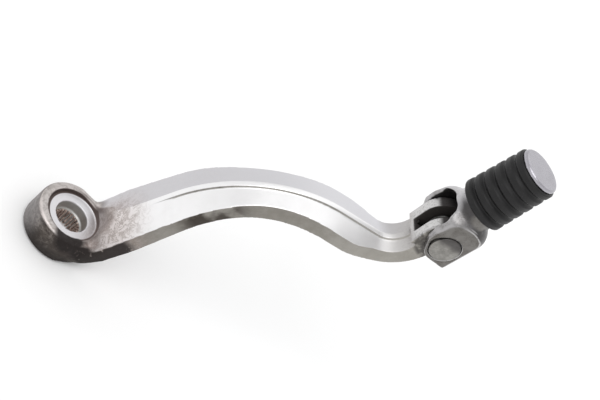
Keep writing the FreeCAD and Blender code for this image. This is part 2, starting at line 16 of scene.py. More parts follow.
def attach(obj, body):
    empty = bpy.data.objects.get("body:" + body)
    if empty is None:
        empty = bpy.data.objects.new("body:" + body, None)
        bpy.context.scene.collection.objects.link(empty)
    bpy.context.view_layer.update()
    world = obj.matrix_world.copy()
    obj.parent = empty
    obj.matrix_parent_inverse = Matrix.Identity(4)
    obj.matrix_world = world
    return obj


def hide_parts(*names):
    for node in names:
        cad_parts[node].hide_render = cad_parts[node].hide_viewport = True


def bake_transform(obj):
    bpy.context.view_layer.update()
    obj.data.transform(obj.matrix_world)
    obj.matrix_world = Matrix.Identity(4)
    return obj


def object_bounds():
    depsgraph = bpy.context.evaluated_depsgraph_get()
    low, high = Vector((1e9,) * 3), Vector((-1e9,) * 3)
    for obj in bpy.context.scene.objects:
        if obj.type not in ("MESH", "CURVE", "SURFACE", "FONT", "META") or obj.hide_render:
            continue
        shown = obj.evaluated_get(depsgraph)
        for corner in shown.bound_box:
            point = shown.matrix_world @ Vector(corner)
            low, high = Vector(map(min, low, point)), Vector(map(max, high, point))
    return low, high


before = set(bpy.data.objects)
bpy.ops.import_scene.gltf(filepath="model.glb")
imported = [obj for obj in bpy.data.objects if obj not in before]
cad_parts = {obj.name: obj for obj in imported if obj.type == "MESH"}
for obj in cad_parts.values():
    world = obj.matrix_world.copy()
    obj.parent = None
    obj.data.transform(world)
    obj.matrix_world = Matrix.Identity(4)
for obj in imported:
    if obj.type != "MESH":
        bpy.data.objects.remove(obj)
CAD_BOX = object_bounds()
LOG = logging.getLogger("shift_pedal")
MM = 0.001
Triple = tuple[float, float, float]
Band = tuple[float, float]
HUB: Triple = (0.0, 0.0, 0.0)
PIVOT: Triple = (110.0, 0.0, 92.0)
# Factors on the three axes: all alike, or with one left out, which gives distances from an axis.
EVEN: Triple = (1.0, 1.0, 1.0)
UPRIGHT: Triple = (1.0, 1.0, 0.0)
CROSSWISE: Triple = (1.0, 0.0, 1.0)


class Body(str, Enum):
    """Rigid bodies of the pedal."""

    LEVER = "lever"
    TOE = "toe"


class Slot(str, Enum):
    """Material slots of the record."""

    LEVER = "lever_forging"
    TOE = "toe_forging"
    SLEEVE = "sleeve_rubber"
    PIN = "pin_steel"
    SPRING = "spring_steel"


class Side(Enum):
    """Directions that a surface can face."""

    UP = (0.0, 0.0, 1.0)
    NEAR = (0.0, -1.0, 0.0)
    FAR = (0.0, 1.0, 0.0)


def scaled(point: Triple) -> Triple:
    """Return a point given in millimetres in metres."""
    return (point[0] * MM, point[1] * MM, point[2] * MM)


def new_piece(name: str, mesh: Mesh) -> Object:
    """Put a mesh into the scene and return its object."""
    piece = bpy.data.objects.new(name, mesh)
    bpy.context.scene.collection.objects.link(piece)
    return piece


def bake(work: bmesh.types.BMesh, name: str) -> Object:
    """Turn finished mesh work into a new piece."""
    mesh = bpy.data.meshes.new(name)
    work.to_mesh(mesh)
    work.free()
    return new_piece(name, mesh)


def settle(piece: Object) -> Object:
    """Turn a piece's modifiers into plain mesh and return the piece."""
    bpy.context.view_layer.update()
    graph = bpy.context.evaluated_depsgraph_get()
    mesh = bpy.data.meshes.new_from_object(piece.evaluated_get(graph))
    mesh.name = piece.name
    piece.modifiers.clear()
    piece.data = mesh
    return piece


def smooth(piece: Object, sharp_angle: float = 180.0) -> None:
    """Shade a piece smoothly, but for edges that bend more than the angle in degrees."""
    mesh = piece.data
    mesh.polygons.foreach_set("use_smooth", [True] * len(mesh.polygons))
    if sharp_angle < 180.0:
        mesh.set_sharp_from_angle(angle=math.radians(sharp_angle))
    mesh.update()


def dress(piece: Object, material: Material) -> None:
    """Give a piece one material."""
    piece.data.materials.clear()
    piece.data.materials.append(material)


class Wire:
    """A socket in a node tree, with arithmetic."""

    def __init__(self, graph: "Graph", socket: NodeSocket) -> None:
        """Keep the tree and the socket."""
        self.graph = graph
        self.socket = socket

    def __add__(self, other: "Number") -> "Wire":
        """Return the sum."""
        return self.graph.maths("ADD", self, other)

    def __sub__(self, other: "Number") -> "Wire":
        """Return the difference."""
        return self.graph.maths("SUBTRACT", self, other)

    def __mul__(self, other: "Number") -> "Wire":
        """Return the product."""
        return self.graph.maths("MULTIPLY", self, other)

    def __invert__(self) -> "Wire":
        """Return one minus the value."""
        return self.graph.maths("SUBTRACT", 1.0, self)

    def __or__(self, other: "Number") -> "Wire":
        """Return the larger value."""
        return self.graph.maths("MAXIMUM", self, other)

    def size(self) -> "Wire":
        """Return the absolute value."""
        return self.graph.maths("ABSOLUTE", self)

    def span(self, low: "Number", high: "Number", start: "Number" = 0.0, end: "Number" = 1.0,
             curve: str = "SMOOTHSTEP") -> "Wire":
        """Return a step between two values.

        Args:
            low: Value that gives start.
            high: Value that gives end.
            start: Result at low.
            end: Result at high.
            curve: Kind of step, smooth if left out.

        Returns:
            The stepped value.
        """
        if not isinstance(high, Wire) and not isinstance(low, Wire) and low > high:
            low, high, start, end = high, low, end, start
        limits = {"Value": self, "From Min": low, "From Max": high, "To Min": start, "To Max": end}
        return self.graph.wire("ShaderNodeMapRange", limits, interpolation_type=curve)


Number = Union[Wire, float]
Paint = Union[Wire, Triple]


class Graph:
    """Node tree with short calls for its nodes."""

    def __init__(self, tree: NodeTree) -> None:
        """Keep the tree."""
        self.tree = tree

    def feed(self, socket: NodeSocket, value: object) -> None:
        """Link a wire to a socket, or set the socket's own value."""
        if isinstance(value, Wire):
            self.tree.links.new(value.socket, socket)
        elif isinstance(value, tuple) and socket.type == "RGBA":
            socket.default_value = (*value, 1.0)
        else:
            socket.default_value = value

    def node(self, kind: str, inputs: Optional[dict] = None, **settings: object) -> Node:
        """Add a node and feed its inputs.

        Args:
            kind: Type name of the node.
            inputs: Values or wires by input name or number.
            settings: Properties to set on it first.

        Returns:
            The new node.
        """
        node = self.tree.nodes.new(kind)
        for name, value in settings.items():
            setattr(node, name, value)
        for name, value in (inputs or {}).items():
            self.feed(node.inputs[name], value)
        return node

    def wire(self, kind: str, inputs: Optional[dict] = None, output: Union[int, str] = 0,
             **settings: object) -> Wire:
        """Add a node as above and return one of its outputs."""
        return Wire(self, self.node(kind, inputs, **settings).outputs[output])

    def maths(self, operation: str, first: Number, second: Number = 0.0) -> Wire:
        """Return the result of an operation on one or two numbers."""
        return self.wire("ShaderNodeMath", {0: first, 1: second}, operation=operation)

    def part(self, vector: Wire, axis: str) -> Wire:
        """Return one coordinate of a vector, named X, Y or Z."""
        return self.wire("ShaderNodeSeparateXYZ", {0: vector}, axis)


@dataclass(frozen=True)
class Spot:
    """Soft spot around a point in millimetres, full at its core and gone at its edge."""

    centre: Triple
    edge: float
    core: float
    squeeze: Triple = EVEN


class Sheet(Graph):
    """Node tree of one material, with the patterns and masks that the finishes share."""

    def __init__(self, name: str) -> None:
        """Start a material with a principled shader."""
        self.material = bpy.data.materials.new(name)
        self.material.use_nodes = True
        super().__init__(self.material.node_tree)
        self.tree.nodes.clear()
        output = self.node("ShaderNodeOutputMaterial")
        self.shader = self.node("ShaderNodeBsdfPrincipled")
        self.tree.links.new(self.shader.outputs["BSDF"], output.inputs["Surface"])
        coordinates = self.node("ShaderNodeTexCoord")
        self.place = Wire(self, coordinates.outputs["Object"])
        self.normal = Wire(self, coordinates.outputs["Normal"])

    def along(self, axis: str) -> Wire:
        """Return a coordinate of the place in millimetres."""
        return self.part(self.place, axis) * (1.0 / MM)

    def dot(self, vector: Wire, direction: Triple) -> Wire:
        """Return how far a vector reaches along a direction."""
        inputs = {0: vector, 1: direction}
        return self.wire("ShaderNodeVectorMath", inputs, "Value", operation="DOT_PRODUCT")

    def faces(self, side: Union[Side, Triple]) -> Wire:
        """Return the cosine of the angle between the surface and a direction."""
        return self.dot(self.normal, side.value if isinstance(side, Side) else side)

    def away(self, centre: Triple, squeeze: Triple = EVEN) -> Wire:
        """Return the distance from a point in millimetres, with factors on the three axes."""
        scale = tuple(value / MM for value in squeeze)
        shift = tuple(-c * q for c, q in zip(centre, squeeze))
        inputs = {"Vector": self.place, "Scale": scale, "Location": shift}
        offset = self.wire("ShaderNodeMapping", inputs, vector_type="POINT")
        return self.wire("ShaderNodeVectorMath", {0: offset}, "Value", operation="LENGTH")

    def spot(self, spot: Spot) -> Wire:
        """Return the mask of a soft spot."""
        return self.away(spot.centre, spot.squeeze).span(spot.edge, spot.core)

    def noise(self, grain: float, detail: float = 4.0, harsh: float = 0.55,
              stretch: Triple = EVEN, turn: Triple = (0.0, 0.0, 0.0), warp: float = 0.0) -> Wire:
        """Return a cloudy pattern.

        Args:
            grain: Size of the clouds in millimetres.
            detail: Octaves.
            harsh: Weight of the small octaves.
            stretch: Factors on the three axes; smaller ones draw the pattern out.
            turn: Turn of the pattern in degrees.
            warp: Distortion.

        Returns:
            A value around one half.
        """
        spin = tuple(math.radians(value) for value in turn)
        scale = tuple(1.0 / value for value in stretch)
        inputs = {"Vector": self.place, "Rotation": spin, "Scale": scale}
        place = self.wire("ShaderNodeMapping", inputs, vector_type="TEXTURE")
        inputs = {"Vector": place, "Scale": 1.0 / (grain * MM), "Detail": detail,
                  "Roughness": harsh, "Distortion": warp}
        return self.wire("ShaderNodeTexNoise", inputs)

    def crevice(self, reach: float) -> Wire:
        """Return how open the surface is within a reach in millimetres, one in the open."""
        return self.wire("ShaderNodeAmbientOcclusion", {"Distance": reach * MM}, "AO", samples=8)

    def mix(self, factor: Number, first: Paint, second: Paint) -> Wire:
        """Return a blend of two colours; the factor is the share of the second."""
        return self.wire("ShaderNodeMix", {0: factor, 6: first, 7: second}, 2, data_type="RGBA")

    def bump(self, height: Wire, depth: float, strength: float) -> None:
        """Raise the surface by a pattern with a depth in millimetres."""
        inputs = {"Strength": strength, "Distance": depth * MM, "Height": height}
        self.feed(self.shader.inputs["Normal"], self.wire("ShaderNodeBump", inputs))

    def finish(self, colour: Paint, rough: Number, metal: Number, gloss: float = 0.5) -> Material:
        """Feed the shader and return the finished material."""
        inputs = {"Base Color": colour, "Roughness": rough, "Metallic": metal,
                  "Specular IOR Level": gloss}
        for name, value in inputs.items():
            self.feed(self.shader.inputs[name], value)
        return self.material


class Coat:
    """Colour that is built up in layers."""

    def __init__(self, sheet: Sheet, colour: Paint) -> None:
        """Start with one colour."""
        self.sheet = sheet
        self.colour = colour

    def lay(self, mask: Number, tone: Paint) -> None:
        """Cover the masked share with another tone."""
        self.colour = self.sheet.mix(mask, self.colour, tone)


@dataclass(frozen=True)
class LeverMetal:
    """Polished forging, with painted shade on its sides and in its corners, dirty at the hub and
    stained at the arm's root.
    """

    bright: Triple = (0.90, 0.895, 0.90)
    cloud: Triple = (0.83, 0.825, 0.825)
    # Painted shade on the far and near side walls, with painted light along the near wall's run.
    far_shade: Triple = (0.70, 0.695, 0.72)
    far_root_shade: Triple = (0.60, 0.59, 0.61)
    near_shade: Triple = (0.34, 0.325, 0.30)
    near_shade_mottle: Triple = (0.25, 0.235, 0.21)
    near_run_light: Triple = (0.56, 0.54, 0.50)
    # Painted shadow line along the recess.
    recess_shadow_line: Triple = (0.10, 0.095, 0.09)
    fork: Triple = (0.36, 0.35, 0.34)
    speck: Triple = (0.08, 0.07, 0.06)
    # Painted shade at the fork's foot.
    fork_foot_shade: Triple = (0.40, 0.38, 0.365)
    rim: Triple = (0.56, 0.525, 0.51)
    rim_dirt: Triple = (0.17, 0.14, 0.125)
    wall: Triple = (0.135, 0.115, 0.102)
    wall_dirt: Triple = (0.05, 0.04, 0.036)
    wall_bare: Triple = (0.235, 0.208, 0.192)
    wall_foot: Triple = (0.045, 0.038, 0.035)
    # Painted reflection on the hub wall.
    wall_reflection: Triple = (0.25, 0.232, 0.228)
    # Painted shade on the seat's far rim.
    lip: Triple = (0.15, 0.122, 0.118)
    # Painted shadow ring on the seat, with dirt.
    groove: Triple = (0.10, 0.078, 0.072)
    seat: Triple = (0.70, 0.69, 0.71)
    bore: Triple = (0.55, 0.545, 0.53)
    # Painted highlight on the rim's edge.
    rim_highlight: Triple = (0.74, 0.68, 0.66)
    worn: Triple = (0.075, 0.062, 0.056)
    smudge: Triple = (0.05, 0.04, 0.033)
    tarnish: Triple = (0.56, 0.465, 0.44)
    stain: Triple = (0.19, 0.135, 0.105)
    # Black of the dirt and of the painted shade.
    grime_and_shade: Triple = (0.016, 0.0125, 0.012)
    black_spot: Spot = Spot((13.5, -13.5, 4.0), 15.5, 10.5)
    smudge_spot: Spot = Spot((33.5, -10.5, 47.0), 17.0, 7.0)
    root_spot: Spot = Spot((15.5, -6.0, 10.5), 16.0, 2.0, (1.0, 0.7, 0.75))
    fork_spot: Spot = Spot((108.0, 0.0, 92.0), 19.0, 11.0, (1.0, 0.8, 1.0))
    gap_spot: Spot = Spot(PIVOT, 11.7, 11.2, CROSSWISE)
    seam_spot: Spot = Spot(PIVOT, 12.6, 10.8, CROSSWISE)
    worn_spot: Spot = Spot((3.0, -13.0, 2.0), 12.0, 5.0)
    cake_spot: Spot = Spot((0.2, -11.6, 1.2), 5.6, 4.0, (0.8, 1.0, 0.6))
    zone_radius: Band = (17.5, 14.5)
    rim_radius: Band = (11.15, 11.35)
    seat_radius: Band = (11.1, 10.8)
    bore_radius: Band = (7.3, 7.05)
    shadow_ring_centre: Triple = (0.5, 0.4, 0.0)
    shadow_ring_inside: Band = (10.15, 10.45)
    shadow_ring_outside: Band = (11.7, 11.4)
    shadow_line_place: float = -1.95
    gloss: float = 0.2

    def make(self) -> Material:
        """Return the material of the lever."""
        sheet = Sheet("lever_metal")
        fine = sheet.noise(0.9, 3.0, 0.6)
        drawn = sheet.noise(2.2, 4.0, 0.7, (1.0, 1.0, 0.06), (0.0, 25.0, 0.0))
        blotch = sheet.noise(3.0, 6.0, 0.68, warp=0.5)
        near = sheet.faces(Side.NEAR).span(0.45, 0.8)
        coat = Coat(sheet, self.bright)
        self.paint_arm(coat, near)
        dirt = self.paint_hub(coat, blotch)
        clumps = sheet.noise(8.0, 3.0, 0.5).span(0.32, 0.58)
        coat.lay(near * sheet.spot(self.smudge_spot) * clumps * 0.92, self.smudge)
        root = sheet.spot(self.root_spot)
        coat.lay(root * 0.5, self.tarnish)
        wrinkle = (sheet.noise(4.5, 4.0, 0.7, warp=1.2) - 0.5).size().span(0.05, 0.01)
        stained = root * (wrinkle * 0.8 | blotch.span(0.5, 0.68))
        coat.lay(stained * 0.7, self.stain)
        black = near * sheet.spot(self.black_spot) * blotch.span(0.3, 0.42)
        # Black dirt, with painted shade in corners and in the folding joint.
        dark = (black | dirt) | self.corner_shade_and_dirt(sheet, blotch)
        coat.lay(dark * 0.95, self.grime_and_shade)
        run = sheet.along("X")
        rough = (fine.span(0.2, 0.8, 0.3, 0.42) + near * 0.16) + (dark | stained) * 0.25
        rough = rough + (run.span(62.0, 84.0) | run.span(38.0, 26.0)) * 0.12
        sheet.bump(drawn + fine * 0.6, 0.02, 0.3)
        return sheet.finish(coat.colour, rough, ~(dark | stained * 0.5), self.gloss)

    def corner_shade_and_dirt(self, sheet: Sheet, blotch: Wire) -> Wire:
        """Return the mask of painted shade in corners, in the fork's slot and at its mouth, and of
        dirt with painted shade along the seam beside the ear.
        """
        # Painted shade from ambient occlusion, outside the seat.
        deep = sheet.crevice(3.0).span(0.62, 0.25) * sheet.away(HUB, UPRIGHT).span(10.6, 11.2)
        across = sheet.along("Y")
        mouth = sheet.along("Z").span(97.0, 98.8) * sheet.along("X").span(96.0, 100.0)
        gap = sheet.spot(self.gap_spot) * across.size().span(3.3, 2.95)
        seam = sheet.spot(self.seam_spot) * across.span(-6.2, -7.4)
        return deep * 0.85 | ((mouth | gap) | seam * blotch.span(0.3, 0.55) * 0.75)

    def paint_arm(self, coat: Coat, near: Wire) -> None:
        """Paint the arm and the fork, with painted shade on the side walls, along the recess and
        at the fork's foot.

        Args:
            coat: Colour to lay on.
            near: Mask of the near side wall.
        """
        sheet = coat.sheet
        run = sheet.along("X")
        clouds = sheet.noise(9.0, 5.0, 0.6)
        coat.lay(clouds.span(0.4, 0.75, 0.0, 0.5), self.cloud)
        # Painted shade on the far-facing walls, deeper towards the hub.
        far_shade_tone = sheet.mix(run.span(20.0, 62.0), self.far_root_shade, self.far_shade)
        coat.lay(sheet.faces(Side.FAR).span(0.05, 0.2), far_shade_tone)
        # Painted shadow: a thin dark line along the top edge of the recess, on faces that look
        # outward.
        outward = sheet.faces((-0.4, 0.0, 0.9)).span(0.3, 0.6)
        outward = outward * run.span(17.5, 21.0) * run.span(102.0, 100.0)
        line = (sheet.along("Y") - self.shadow_line_place).size().span(0.28, 0.06) * outward
        coat.lay(line * 0.75, self.recess_shadow_line)
        fork = sheet.spot(self.fork_spot)
        specks = sheet.noise(0.7, 3.0, 0.6).span(0.5, 0.66)
        coat.lay(fork * 0.5, self.fork)
        coat.lay(fork * specks * 0.35, self.speck)
        # Painted shade at the foot of the fork, below the pivot.
        fork_foot_shade = run.span(92.0, 101.0) * sheet.along("Z").span(88.0, 82.0)
        coat.lay(fork_foot_shade * 0.6, self.fork_foot_shade)
        # Painted shade on the near-facing walls, mottled, with painted light along the run towards
        # the fork.
        side = sheet.noise(6.0, 5.0, 0.6, (0.5, 1.0, 0.5)).span(0.3, 0.7)
        near_shade_coat = Coat(sheet, self.near_shade)
        near_shade_coat.lay(side, self.near_shade_mottle)
        near_shade_coat.lay(run.span(60.0, 95.0) * 0.35, self.near_run_light)
        coat.lay(near, near_shade_coat.colour)

    def paint_hub(self, coat: Coat, blotch: Wire) -> Wire:
        """Paint the hub over the arm, with a painted highlight, reflection, shade and shadow on
        it.

        Args:
            coat: Colour to lay on.
            blotch: Uneven pattern of the dirt.

        Returns:
            A mask of the black dirt.
        """
        sheet = coat.sheet
        radius = sheet.away(HUB, UPRIGHT)
        height = sheet.along("Z")
        zone = radius.span(*self.zone_radius) * height.span(7.0, 2.5)
        streaks = sheet.noise(2.0, 6.0, 0.72, (0.5, 0.5, 1.0), warp=1.4)
        rim = sheet.mix(streaks.span(0.4, 0.7, 0.0, 0.6), self.rim, self.rim_dirt)
        wall = Coat(sheet, self.wall)
        wall.lay(streaks.span(0.35, 0.65), self.wall_dirt)
        wall.lay(blotch.span(0.5, 0.64), self.wall_bare)
        wall.lay(height.span(-1.0, -8.0, 0.0, 0.7), self.wall_foot)
        # Painted reflection: a paler, streaked tone on the part of the hub wall that faces back.
        reflecting_side = sheet.faces((-0.9, 0.35, 0.1)).span(0.25, 0.95)
        wall.lay(reflecting_side * streaks.span(0.7, 0.35, 0.4, 1.0), self.wall_reflection)
        wall.lay(sheet.faces(Side.UP).span(0.35, 0.85), rim)
        coat.lay(zone * radius.span(*self.rim_radius), wall.colour)
        above = height.span(1.0, 2.0)
        step = radius.span(13.2, 11.9) * height.span(15.0, 10.0) * above
        coat.lay(step * 0.85, rim)
        # Painted shade on the inner wall of the seat's far rim.
        lip = radius.span(12.9, 12.1) * radius.span(11.0, 11.3) * above
        lip = lip * sheet.faces((0.7, 0.7, 0.0)).span(0.5, -0.2)
        lip = lip * sheet.along("Y").span(2.0, 8.0) * sheet.along("X").span(-4.0, 4.0)
        coat.lay(lip * 0.8, self.lip)
        inside = height.span(2.6, 2.3)
        coat.lay(radius.span(*self.seat_radius) * inside, self.seat)
        coat.lay(radius.span(*self.bore_radius) * height.span(-0.2, -0.7), self.bore)
        # Painted shadow of the rim's wall, with dirt: a dark ring on the seat's floor at its edge,
        # off-centre towards the far side.
        groove = sheet.away(self.shadow_ring_centre, UPRIGHT).span(*self.shadow_ring_inside)
        coat.lay(groove * radius.span(*self.shadow_ring_outside) * inside, self.groove)
        # Painted highlight, streaked, along the rounded outer edge of the rim that faces up and
        # back.
        rim_glint = sheet.faces((-0.66, -0.25, 0.7)).span(0.84, 0.97) * zone
        rim_glint = rim_glint * radius.span(12.0, 13.0)
        coat.lay(rim_glint * streaks.span(0.7, 0.4, 0.2, 0.8), self.rim_highlight)
        worn = sheet.spot(self.worn_spot) * radius.span(11.4, 12.2)
        coat.lay(worn * blotch.span(0.66, 0.42, 0.35, 0.9), self.worn)
        cake = sheet.spot(self.cake_spot) * radius.span(9.5, 10.3) * blotch.span(0.3, 0.42)
        low = height.span(-4.0, -10.0) * radius.span(14.0, 14.8)
        low = low * sheet.faces(Side.NEAR).span(0.2, 0.7)
        return cake | low * blotch.span(0.3, 0.55) * 0.8


@dataclass(frozen=True)
class ToeMetal:
    """Satin forging with specks, painted shade and highlights on its waist and cheek, black grime
    and painted shade in its slot and crevices, pale on its end disc.
    """

    satin: Triple = (0.40, 0.39, 0.395)
    dull: Triple = (0.20, 0.192, 0.188)
    shade: Triple = (0.05, 0.047, 0.048)
    crown_highlight: Triple = (0.70, 0.69, 0.71)
    flank_shade: Triple = (0.055, 0.052, 0.052)
    cheek_shade: Triple = (0.20, 0.192, 0.182)
    cheek_shade_mottle: Triple = (0.14, 0.132, 0.122)
    # Painted highlight on the cheek's edge.
    edge: Triple = (0.66, 0.65, 0.65)
    speck: Triple = (0.07, 0.062, 0.055)
    disc: Triple = (0.43, 0.42, 0.455)
    disc_dull: Triple = (0.37, 0.36, 0.39)
    grime_and_shade: Triple = (0.012, 0.011, 0.011)
    gloss: float = 0.2

    def make(self, axis: "ToeAxis", tip: float) -> Material:
        """Return the material of the toe piece.

        Args:
            axis: Where the toe piece stands.
            tip: Distance of its end face from the pivot in millimetres.

        Returns:
            The material.
        """
        sheet = Sheet("toe_metal")
        fine = sheet.noise(0.8, 3.0, 0.6)
        clouds = sheet.noise(4.0, 5.0, 0.62)
        near = sheet.faces(Side.NEAR)
        up = axis.direction()
        foot = sum(a * b for a, b in zip(axis.pivot, up))
        height = sheet.dot(sheet.place, tuple(value / MM for value in up)) - foot
        coat = Coat(sheet, self.satin)
        coat.lay(clouds.span(0.35, 0.7, 0.0, 0.6), self.dull)
        # Painted shade on the waist next to the sleeve.
        coat.lay(height.span(11.5, 16.5) * near.span(-0.5, 0.3) * 0.92, self.shade)
        # Painted highlight on the crown of the waist.
        crown_highlight = sheet.faces((-0.78, 0.28, 0.5)).span(0.6, 0.92) * height.span(8.0, 11.0)
        coat.lay(crown_highlight * 0.55, self.crown_highlight)
        # Painted shade on the flank of the waist that faces forward.
        flank_shade = sheet.faces((0.7, -0.35, 0.55)).span(0.4, 0.8) * height.span(7.5, 11.0)
        coat.lay(flank_shade * 0.85, self.flank_shade)
        # Painted shade on the near cheek, mottled.
        cheek_shade = sheet.mix(clouds.span(0.35, 0.65), self.cheek_shade, self.cheek_shade_mottle)
        coat.lay(near.span(0.8, 0.97), cheek_shade)
        across = sheet.along("Y")
        # Painted highlight along the rounded top edge of the near cheek.
        cheek_glint = near.span(0.62, 0.76) * near.span(0.95, 0.86)
        cheek_glint = cheek_glint * across.span(-9.8, -10.2) * sheet.along("X").span(106.0, 111.0)
        coat.lay(cheek_glint * 0.7, self.edge)
        specks = sheet.noise(0.55, 2.0, 0.5).span(0.58, 0.68) * clouds.span(0.35, 0.6)
        coat.lay(specks * 0.7, self.speck)
        end = height.span(tip - 2.4, tip - 1.9)
        disc = sheet.mix(clouds.span(0.4, 0.7, 0.0, 0.6), self.disc, self.disc_dull)
        coat.lay(end, disc)
        # Black grease and painted shade inside the slot, and painted shade in crevices.
        slot = across.size().span(8.6, 8.1) * sheet.away(axis.pivot, CROSSWISE).span(17.2, 16.0)
        slot = slot * sheet.faces((-0.45, 0.0, 0.89)).span(0.4, 0.05)
        dark = slot | sheet.crevice(2.5).span(0.6, 0.2) * 0.9
        coat.lay(dark, self.grime_and_shade)
        rough = fine.span(0.2, 0.8, 0.27, 0.4) - end * 0.05
        sheet.bump(fine + clouds * 0.5, 0.02, 0.4)
        return sheet.finish(coat.colour, rough, ~dark, self.gloss)


@dataclass(frozen=True)
class SleeveRubber:
    """Charcoal rubber, slightly dusty."""

    black: Triple = (0.0035, 0.0033, 0.0037)
    dust: Triple = (0.0105, 0.0099, 0.0108)
    gloss: float = 0.34

    def make(self) -> Material:
        """Return the material of the sleeve."""
        sheet = Sheet("sleeve_rubber")
        clouds = sheet.noise(4.0, 5.0, 0.6)
        colour = sheet.mix(clouds.span(0.35, 0.75, 0.0, 0.8), self.black, self.dust)
        sheet.bump(sheet.noise(0.35, 3.0, 0.6), 0.03, 0.5)
        return sheet.finish(colour, clouds.span(0.3, 0.7, 0.4, 0.52), 0.0, self.gloss)


@dataclass(frozen=True)
class Steel:
    """Satin steel with turning marks, and painted shade between two heights where these are given.
    """

    name: str
    tone: Triple
    shade: Triple
    rough: float = 0.42
    shade_band: Optional[Band] = None
    shade_band_tone: Triple = (0.06, 0.055, 0.056)

    def make(self) -> Material:
        """Return the material."""
        sheet = Sheet(self.name)
        fine = sheet.noise(0.5, 4.0, 0.6)
        clouds = sheet.noise(2.6, 5.0, 0.65)
        coat = Coat(sheet, self.tone)
        coat.lay(clouds.span(0.3, 0.72), self.shade)
        if self.shade_band is not None:
            # Painted shade between the two heights.
            coat.lay(sheet.along("Z").span(*self.shade_band) * 0.8, self.shade_band_tone)
        sheet.bump(fine, 0.015, 0.4)
        rough = fine.span(0.2, 0.8, self.rough - 0.08, self.rough + 0.1)
        return sheet.finish(coat.colour, rough, 1.0)


@dataclass(frozen=True)
class SplineRust:
    """Rusty, oily teeth."""

    rust: Triple = (0.70, 0.56, 0.50)
    oil: Triple = (0.16, 0.10, 0.08)
    metal: float = 0.45

    def make(self) -> Material:
        """Return the material of the teeth."""
        sheet = Sheet("spline_rust")
        clouds = sheet.noise(1.6, 5.0, 0.65)
        colour = sheet.mix(clouds.span(0.36, 0.66), self.rust, self.oil)
        sheet.bump(clouds, 0.03, 0.5)
        return sheet.finish(colour, clouds.span(0.3, 0.7, 0.45, 0.7), self.metal)


class Pattern(Graph):
    """Geometry node tree with named sizes, run once on an empty mesh."""

    def __init__(self, name: str) -> None:
        """Start a tree with one geometry output."""
        super().__init__(bpy.data.node_groups.new(name, "GeometryNodeTree"))
        self.name = name
        self.tree.interface.new_socket("Geometry", in_out="OUTPUT",
                                       socket_type="NodeSocketGeometry")
        self.inlet = self.node("NodeGroupInput")
        self.outlet = self.node("NodeGroupOutput")
        self.values: dict[str, Union[float, int]] = {}

    def size(self, name: str, value: Union[float, int]) -> Wire:
        """Add a named input, in metres where it is a length, and return its wire."""
        kind = "NodeSocketInt" if isinstance(value, int) else "NodeSocketFloat"
        socket = self.tree.interface.new_socket(name, in_out="INPUT", socket_type=kind)
        self.values[socket.identifier] = value
        return Wire(self, self.inlet.outputs[name])

    def lengths(self, sizes: dict[str, float]) -> list[Wire]:
        """Add named lengths given in millimetres."""
        return [self.size(name, value * MM) for name, value in sizes.items()]

    def move(self, geometry: Wire, place: Triple, turn: Triple = (0.0, 0.0, 0.0)) -> Wire:
        """Return geometry turned, then shifted to a place in millimetres."""
        inputs = {"Geometry": geometry, "Translation": scaled(place), "Rotation": turn}
        return self.wire("GeometryNodeTransform", inputs)

    def position(self, axis: str) -> Wire:
        """Return one coordinate of each point."""
        return self.part(self.wire("GeometryNodeInputPosition"), axis)

    def tube(self, path: Wire, radius: Number, sides: int) -> Wire:
        """Sweep a circle along a path.

        Args:
            path: Curve to follow.
            radius: Radius along the path.
            sides: Sides of the circle.

        Returns:
            The tube, closed at its ends.
        """
        inputs = {"Resolution": sides, "Radius": 1.0}
        ring = self.wire("GeometryNodeCurvePrimitiveCircle", inputs)
        sweep = self.node("GeometryNodeCurveToMesh", {"Profile Curve": ring, "Fill Caps": True})
        if "Scale" in sweep.inputs:
            self.feed(sweep.inputs["Scale"], radius)
        else:
            path = self.wire("GeometryNodeSetCurveRadius", {"Curve": path, "Radius": radius})
        self.feed(sweep.inputs["Curve"], path)
        return Wire(self, sweep.outputs[0])

    def grow(self, geometry: Wire, material: Material) -> Object:
        """Finish the tree, turn its result into a plain mesh and return the piece."""
        real = self.wire("GeometryNodeRealizeInstances", {"Geometry": geometry})
        coated = self.wire("GeometryNodeSetMaterial", {"Geometry": real, "Material": material})
        self.feed(self.outlet.inputs[0], coated)
        piece = new_piece(self.name, bpy.data.meshes.new(self.name))
        modifier = piece.modifiers.new("pattern", "NODES")
        modifier.node_group = self.tree
        for identifier, value in self.values.items():
            modifier[identifier] = value
        return settle(piece)


def rounded_copy(node: str, name: str, voxel: float, passes: int,
                 bit: Optional[Object] = None) -> Object:
    """Copy a solid with its sharp edges worn round.

    Args:
        node: Solid to copy.
        name: Name of the copy.
        voxel: Grain of the copy in millimetres.
        passes: Smoothing passes.
        bit: Cutter to take away first.

    Returns:
        The copy.
    """
    work = bmesh.new()
    work.from_mesh(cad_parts[node].data)
    bmesh.ops.remove_doubles(work, verts=work.verts, dist=1e-6)
    piece = bake(work, name)
    if bit is not None:
        cut = piece.modifiers.new("drill", "BOOLEAN")
        cut.operation = "DIFFERENCE"
        cut.solver = "EXACT"
        cut.object = bit
    rounding = piece.modifiers.new("round", "REMESH")
    rounding.mode = "VOXEL"
    rounding.voxel_size = voxel * MM
    settle(piece)
    if bit is not None:
        bpy.data.objects.remove(bit)
    soften(piece, passes)
    return piece


def soften(piece: Object, passes: int, weights: Optional[np.ndarray] = None,
           levels: int = 10) -> None:
    """Smooth a dense mesh.

    Args:
        piece: Object to smooth.
        passes: Smoothing passes.
        weights: Share of the smoothing at each corner; all of it if left out.
        levels: Steps that the shares are rounded to.
    """
    softening = piece.modifiers.new("soften", "SMOOTH")
    softening.factor = 0.5
    softening.iterations = passes
    if weights is not None:
        group = piece.vertex_groups.new(name="soft")
        for level in range(1, levels + 1):
            chosen = np.nonzero(np.round(weights * levels) == level)[0]
            group.add(chosen.tolist(), level / levels, "REPLACE")
        softening.vertex_group = group.name
    settle(piece)
    piece.vertex_groups.clear()


